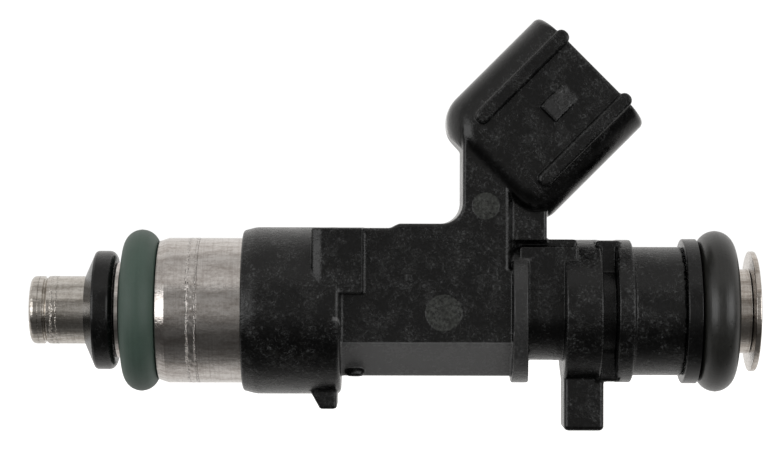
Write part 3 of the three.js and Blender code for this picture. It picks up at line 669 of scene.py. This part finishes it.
def housing():
    """The turned housing: the seat of the lower O-ring, the welded band and a fine joint line."""
    start, end, radius, joint = HOUSING.start, HOUSING.end, HOUSING.radius, HOUSING.joint
    profile = [(start, 3.12, 0), (start, HOUSING.lip, 0.08), (-1.75, HOUSING.lip, 0.08)]
    profile += [(-1.75, HOUSING.seat, 0.1), (1.65, HOUSING.seat, 0.1)]
    profile += [(1.65, 6.28, 0.06), (2.5, radius, 0.25)]
    profile += [(x, radius, 0) for x in np.linspace(4.38, 5.3, 12)]
    profile += [(joint - 0.03, radius, 0.015), (joint, radius - 0.04, 0.01)]
    profile += [(joint + 0.03, radius, 0.015), (end, radius, 0.05)]
    profile += [(end, HOUSING.bore, 0), (2.6, HOUSING.bore, 0), (2.6, 3.65, 0)]
    turned(
        "housing", profile, "magnet_housing", STEEL, sides=288, relief=welded_band
    )


def tip_weld(x, r, angle):
    """The ripple of the weld round the spray tip."""
    inside = ease(x, -8.05, -7.9) * (1 - ease(x, -7.55, -7.4)) * (r > TIP.bore)
    return inside * 0.018 * np.sin(22 * angle + 8 * np.sin(x * 7))


def tip_tube():
    """The thin tube whose end is the spray tip, with a fine joint line and a groove."""
    start, end, radius = TIP.start, TIP.end, TIP.radius
    profile = [(start, TIP.bore, 0.1), (start, radius, 0.45)]
    profile += [(-9.2, radius, 0.02), (-9.17, radius - 0.04, 0.02), (-9.12, radius, 0.02)]
    profile += [(-8.76, radius, 0.04), (-8.63, radius - 0.25, 0.06), (-8.35, radius, 0.04)]
    profile += [(x, radius, 0) for x in np.linspace(-8.06, -7.38, 10)]
    profile += [(2, radius, 0), (2.5, TIP.upper_radius, 0), (end, TIP.upper_radius, 0)]
    profile += [(end, TIP.upper_bore, 0), (2.9, TIP.upper_bore, 0), (2.4, TIP.bore, 0)]
    turned("tip_tube", profile, "valve_sleeve", TIP_STEEL, sides=192, relief=tip_weld)


def retaining_ring():
    """The ring with a conical nose, below the lower O-ring."""
    start, end, bore, radius = -5, -2.25, 3.12, 5.37
    profile = [(start, bore, 0.05), (start, 3.25, 0.06), (-4.1, 5.27, 0.15), (-3.9, radius, 0.1)]
    profile += [(end, radius, 0.65), (end, bore, 0.1)]
    turned("retaining_ring", profile, "lower_retaining_ring", RING_NYLON)


def support_ring():
    """The flat ring between the moulding and the upper O-ring."""
    start, end, bore, radius = 48.89, 50.22, 3.87, 6.55
    profile = [(start, bore, 0), (start, radius, 0.16), (end, radius, 0.1), (end, bore, 0)]
    turned("support_ring", profile, "upper_support_ring", RING_NYLON)


def fuel_tube():
    """The inlet tube, whose end is flared into a rim with a countersunk bore."""
    start, end, radius, bore, rim = 17.1, 55.55, 3.82, 3.3, 5.44
    profile = [(start, radius, 0), (54.96, radius, 0.12), (55.05, rim, 0.06), (end, rim, 0.14)]
    profile += [(end, 3.6, 0.1), (55.25, bore, 0.1), (start, bore, 0)]
    turned("fuel_tube", profile, "inlet_tube", INLET_STEEL)


def o_ring(name, x, centre, section, replaced, material, steps=48, flash=0.012):
    """A ring of round section, with the thin parting line that moulding leaves."""
    profile = []
    for step in range(steps):
        angle = 2 * math.pi * step / steps
        r = section if step in (0, steps // 2) else section - flash
        profile.append((x + r * math.sin(angle), centre + r * math.cos(angle), 0))
    turned(name, profile, replaced, material, sides=192)


points, quads, normals = surface(overmould, MOULDING_LOW, MOULDING_HIGH, MOULDING_CELL)
add_piece("overmould", points, quads, "body_overmould", BLACK_NYLON, normals)
housing()
tip_tube()
retaining_ring()
support_ring()
fuel_tube()
o_ring("lower_seal", 0.03, 5.72, 1.6, "lower_o_ring", GREEN_RUBBER)
o_ring("upper_seal", 51.95, 5.58, 1.71, "upper_o_ring", BLACK_RUBBER)

CAD_CREASE_DEGREES = 35

# The CAD nodes that are shown as they were packed, with their materials.
KEPT = {
    "spray_disc": VALVE_STEEL,
    "valve_seat": VALVE_STEEL,
    "valve_ball": VALVE_STEEL,
    "needle_tube": VALVE_STEEL,
    "return_spring": VALVE_STEEL,
    "armature": MAGNETIC_STEEL,
    "adjusting_sleeve": MAGNETIC_STEEL,
    "pole_core": MAGNETIC_STEEL,
    "flux_washer": MAGNETIC_STEEL,
    "coil_bobbin": NATURAL_NYLON,
    "coil_winding": COPPER,
    "filter_collar": BRASS,
    "filter_cage": NATURAL_NYLON,
    "filter_screen": SCREEN,
    "terminal_left": TIN,
    "terminal_right": TIN,
}
for name, material in KEPT.items():
    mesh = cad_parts[name].data
    mesh.materials.clear()
    mesh.materials.append(material)
    mesh.polygons.foreach_set("use_smooth", [True] * len(mesh.polygons))
    mesh.set_sharp_from_angle(angle=math.radians(CAD_CREASE_DEGREES))


# ---- Floor, light and camera --------------------------------------------------------------

FLOOR = Sizes(x=22.5, z=-24, radius=600, sides=64)


def floor():
    """A round pale floor that the camera sees. It casts no shadow, and neither lights the object
    nor shows in its gloss."""
    mesh = bpy.data.meshes.new("floor")
    angles = np.linspace(0, 2 * math.pi, FLOOR.sides, endpoint=False)
    ring = [(FLOOR.x + FLOOR.radius * math.cos(a), FLOOR.radius * math.sin(a)) for a in angles]
    edge = [Vector((x, y, FLOOR.z)) * MM for x, y in ring]
    mesh.from_pydata(edge, [], [list(range(FLOOR.sides))])
    g = Graph("floor")
    tone = g.noise(0.02, 3, 0.5)
    g.finish(
        Base_Color=g.mix(tone, (0.84, 0.84, 0.84), (0.88, 0.88, 0.88)),
        Roughness=0.9,
        Emission_Color=(1, 1, 1, 1),
        Emission_Strength=0.5,
    )
    mesh.materials.append(g.material)
    made = bpy.data.objects.new("floor", mesh)
    bpy.context.scene.collection.objects.link(made)
    made.visible_glossy = made.visible_diffuse = made.visible_shadow = False


# How bright the room is at each angle about the X axis, in degrees: 0 is level and in front, 90
# is overhead and 180 is level and behind.
ROOM = [(-180, 0.95), (-131, 0.82), (-112, 0.72), (-98, 0.48), (-90, 0.3), (-83, 0.16)]
ROOM += [(-70, 0.115), (-59, 0.074), (-45, 0.074), (-30, 0.11), (-18, 0.2), (-8, 0.32)]
ROOM += [(2, 0.42), (10, 0.44), (20, 0.36), (36, 0.36), (41, 0.76), (50, 0.8), (60, 0.7)]
ROOM += [(72, 0.71), (84, 0.58), (97, 0.68), (113, 0.88), (133, 0.97), (180, 0.95)]
ROOM_TINT = (1, 0.985, 0.965, 1)
SOFTBOX = Sizes(low=-11, high=24, inner=27, outer=70, strength=2.7)  # angles in degrees
BACKDROP = 1.05


def studio():
    """Soft light from above, behind and below, a darker room in front, and a softbox on each
    side of the camera. The camera itself sees plain white."""
    world = bpy.data.worlds.new("studio")
    bpy.context.scene.world = world
    world.use_nodes = True
    tree = world.node_tree
    tree.nodes.clear()

    def add(kind, inputs=(), **settings):
        made = tree.nodes.new(kind)
        for key, value in settings.items():
            setattr(made, key, value)
        for key, value in dict(inputs).items():
            if isinstance(value, bpy.types.NodeSocket):
                tree.links.new(value, made.inputs[key])
            else:
                made.inputs[key].default_value = value
        return made

    def calc(operation, *values):
        return add("ShaderNodeMath", enumerate(values), operation=operation).outputs[0]

    def fit(value, low, high, out_low, out_high):
        inputs = {"Value": value, 1: low, 2: high, 3: out_low, 4: out_high}
        return add("ShaderNodeMapRange", inputs).outputs[0]

    def between(value, low, high, soft):
        rise = fit(value, low - soft, low + soft, 0, 1)
        return calc("MULTIPLY", rise, fit(value, high - soft, high + soft, 1, 0))

    def mix(factor, a, b, **settings):
        return add("ShaderNodeMix", {0: factor, 6: a, 7: b}, data_type="RGBA", **settings).outputs[2]

    way = add("ShaderNodeSeparateXYZ", {0: add("ShaderNodeTexCoord").outputs["Generated"]})
    x, y, z = way.outputs
    ahead = calc("MULTIPLY", y, -1)
    lift = calc("MULTIPLY", calc("ARCTAN2", z, ahead), 180 / math.pi)
    ramp = add("ShaderNodeValToRGB", {"Fac": calc("MULTIPLY_ADD", lift, 1 / 360, 0.5)})
    bar = ramp.color_ramp
    while len(bar.elements) < len(ROOM):
        bar.elements.new(0.5)
    for element, (angle, level) in zip(bar.elements, ROOM):
        element.position = angle / 360 + 0.5
        element.color = (level, level, level, 1)
    turn = calc("MULTIPLY", calc("ARCTAN2", x, ahead), 180 / math.pi)
    height = calc("MULTIPLY", calc("ARCSINE", z), 180 / math.pi)
    left = between(turn, -SOFTBOX.outer, -SOFTBOX.inner, 2)
    right = between(turn, SOFTBOX.inner, SOFTBOX.outer, 2)
    level = between(height, SOFTBOX.low, SOFTBOX.high, 3)
    boxes = calc("MULTIPLY", level, calc("ADD", left, right))
    room = mix(1.0, ramp.outputs[0], ROOM_TINT, blend_type="MULTIPLY")
    lit = mix(boxes, room, (*[SOFTBOX.strength] * 3, 1))
    seen = mix(add("ShaderNodeLightPath").outputs["Is Camera Ray"], lit, (*[BACKDROP] * 3, 1))
    background = add("ShaderNodeBackground", {"Color": seen, "Strength": 1.0})
    out = add("ShaderNodeOutputWorld")
    tree.links.new(background.outputs[0], out.inputs[0])


floor()
studio()
bpy.context.scene.view_settings.view_transform = "Standard"

CAMERA = Sizes(place=(22.45, -227, 7.81), lens=115.5, sensor=36, roll_degrees=0.12)
camera = bpy.data.objects.new("camera", bpy.data.cameras.new("camera"))
bpy.context.scene.collection.objects.link(camera)
camera.data.lens = CAMERA.lens
camera.data.sensor_width = CAMERA.sensor
camera.data.clip_start, camera.data.clip_end = 0.01, 20
camera.location = Vector(CAMERA.place) * MM
roll = Quaternion((0, -1, 0), math.radians(CAMERA.roll_degrees))
camera.rotation_mode = "QUATERNION"
camera.rotation_quaternion = roll @ Euler((math.pi / 2, 0, 0)).to_quaternion()
bpy.context.scene.camera = camera

bpy.context.view_layer.update()
